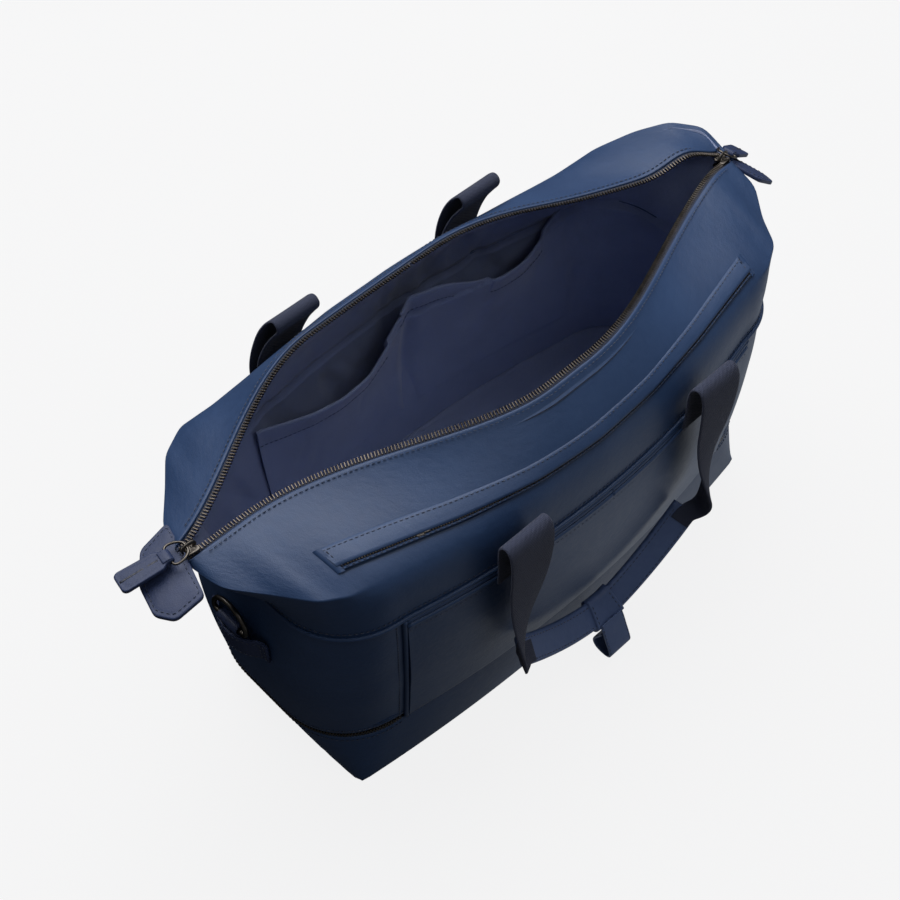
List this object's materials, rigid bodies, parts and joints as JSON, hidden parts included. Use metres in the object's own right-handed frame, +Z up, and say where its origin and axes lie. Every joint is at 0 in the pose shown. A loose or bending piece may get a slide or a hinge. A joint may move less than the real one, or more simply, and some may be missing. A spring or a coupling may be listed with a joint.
{
  "type": "weekender bag",
  "caption": "Soft travel bag with a tent-like zipped roof, front slip pocket, zipped bottom compartment, two folding handles and D-rings at both ends.",
  "frame": {"origin": "middle of the underside, on the ground", "axes": "+X along the length towards the right end, -Y is the front with the slip pocket, +Z up"},
  "size_m": [0.643, 0.2923, 0.2974],
  "materials": {
    "navy_leather": "smooth matte coated navy leather with a fine grain",
    "trim_leather": "smooth navy trim leather, slightly purple, stitched edges",
    "lining_fabric": "fine navy twill lining",
    "navy_webbing": "dark navy herringbone webbing",
    "gunmetal": "dark gunmetal",
    "stiffener": "plain black board"
  },
  "bodies": {
    "base": {"base_tray": "navy_leather", "base_board": "stiffener", "tray_zip_lower": "navy_webbing"},
    "upper": {"divider_floor": "lining_fabric", "upper_zip_ring": "navy_webbing", "left_end_panel": "navy_leather", "right_end_panel": "navy_leather", "left_gusset": "navy_leather", "right_gusset": "navy_leather", "left_wing": "navy_leather", "right_wing": "navy_leather", "left_end_lining": "lining_fabric", "right_end_lining": "lining_fabric", "end_piping": "trim_leather", "left_end_tab": "trim_leather", "right_end_tab": "trim_leather", "left_bridge": "trim_leather", "right_bridge": "trim_leather", "left_chape": "trim_leather", "right_chape": "trim_leather", "end_zip_chains": "gunmetal"},
    "front_wall": {"front_panel": "navy_leather", "front_pocket": "navy_leather", "front_piping": "trim_leather", "front_roof": "navy_leather", "front_lining": "lining_fabric", "front_zip_tape": "navy_webbing", "front_zip_chain": "gunmetal", "welt_frame": "navy_leather", "welt_zip": "gunmetal", "front_handle_anchors": "navy_webbing"},
    "back_wall": {"back_panel": "navy_leather", "back_piping": "trim_leather", "back_roof": "navy_leather", "back_lining": "lining_fabric", "back_slip_pocket": "lining_fabric", "back_zip_tape": "navy_webbing", "back_zip_chain": "gunmetal", "back_handle_anchors": "navy_webbing"},
    "front_handle": {"front_webbing": "navy_webbing", "front_grip": "trim_leather", "grip_keeper": "trim_leather"},
    "keeper": {"keeper_loop": "trim_leather"},
    "back_handle": {"back_webbing": "navy_webbing", "back_grip": "trim_leather"},
    "left_ring": {"left_d_ring": "gunmetal"},
    "right_ring": {"right_d_ring": "gunmetal"},
    "left_slider": {"left_slider": "gunmetal"},
    "right_slider": {"right_slider": "gunmetal"},
    "left_puller": {"left_puller": "trim_leather"},
    "right_puller": {"right_puller": "trim_leather"},
    "welt_slider": {"welt_slider": "gunmetal"},
    "bottom_slider_a": {"bottom_slider_a": "gunmetal"},
    "bottom_slider_b": {"bottom_slider_b": "gunmetal"},
    "bottom_puller_a": {"bottom_puller_a": "trim_leather"},
    "bottom_puller_b": {"bottom_puller_b": "trim_leather"}
  },
  "joints": [
    {"name": "bottom_opening", "type": "hinge", "parent": "base", "child": "upper", "pos_m": [0, -0.112, 0.06], "axis": [1, 0, 0], "range_deg": [0, 25]},
    {"name": "left_slider_travel", "type": "slide", "parent": "upper", "child": "left_slider", "axis": [1, 0, 0], "range_m": [0, 0.26]},
    {"name": "right_slider_travel", "type": "slide", "parent": "upper", "child": "right_slider", "axis": [-1, 0, 0], "range_m": [0, 0.26]},
    {"name": "front_wall_lean", "type": "hinge", "parent": "upper", "child": "front_wall", "pos_m": [0, -0.098, 0.07], "axis": [-1, 0, 0], "range_deg": [0, 20]},
    {"name": "back_wall_lean", "type": "hinge", "parent": "upper", "child": "back_wall", "pos_m": [0, 0.098, 0.07], "axis": [1, 0, 0], "range_deg": [0, 20]},
    {"name": "left_puller_lift", "type": "hinge", "parent": "left_slider", "child": "left_puller", "pos_m": [-0.272, 0, 0.2854], "axis": [0, 1, 0], "range_deg": [0, 90]},
    {"name": "right_puller_lift", "type": "hinge", "parent": "right_slider", "child": "right_puller", "pos_m": [0.272, 0, 0.2854], "axis": [0, -1, 0], "range_deg": [0, 90]},
    {"name": "welt_slider_travel", "type": "hinge", "parent": "front_wall", "child": "welt_slider", "pos_m": [0, 0.7782, 0.25], "axis": [0, 0, 1], "range_deg": [0, 19.2]},
    {"name": "front_handle_swing", "type": "hinge", "parent": "front_wall", "child": "front_handle", "pos_m": [0, -0.132, 0.244], "axis": [-1, 0, 0], "range_deg": [0, 170]},
    {"name": "keeper_flop", "type": "hinge", "parent": "front_handle", "child": "keeper", "pos_m": [0, -0.1419, 0.0334], "axis": [1, 0, 0], "range_deg": [-20, 20]},
    {"name": "back_handle_swing", "type": "hinge", "parent": "back_wall", "child": "back_handle", "pos_m": [0, 0.132, 0.244], "axis": [1, 0, 0], "range_deg": [0, 170]},
    {"name": "left_ring_swing", "type": "hinge", "parent": "upper", "child": "left_ring", "pos_m": [-0.2574, 0, 0.176], "axis": [0, -1, 0], "range_deg": [0, 110]},
    {"name": "right_ring_swing", "type": "hinge", "parent": "upper", "child": "right_ring", "pos_m": [0.2574, 0, 0.176], "axis": [0, 1, 0], "range_deg": [0, 110]},
    {"name": "bottom_slider_a_travel", "type": "hinge", "parent": "base", "child": "bottom_slider_a", "pos_m": [0, -0.8064, 0.06], "axis": [0, 0, -1], "range_deg": [0, 9.7]},
    {"name": "bottom_slider_b_travel", "type": "hinge", "parent": "base", "child": "bottom_slider_b", "pos_m": [0, -0.8064, 0.06], "axis": [0, 0, 1], "range_deg": [0, 9.7]},
    {"name": "bottom_puller_a_lift", "type": "hinge", "parent": "bottom_slider_a", "child": "bottom_puller_a", "pos_m": [0.009, 0.1132, 0.0575], "axis": [1, 0, 0], "range_deg": [0, 30]},
    {"name": "bottom_puller_b_lift", "type": "hinge", "parent": "bottom_slider_b", "child": "bottom_puller_b", "pos_m": [-0.009, 0.1132, 0.0575], "axis": [1, 0, 0], "range_deg": [0, 30]}
  ],
  "couplings": [
    {"joint": "right_slider_travel", "follows": "left_slider_travel", "ratio": 1},
    {"joint": "front_wall_lean", "follows": "left_slider_travel", "rad_per_m": 1.3426},
    {"joint": "back_wall_lean", "follows": "left_slider_travel", "rad_per_m": 1.3426}
  ]
}
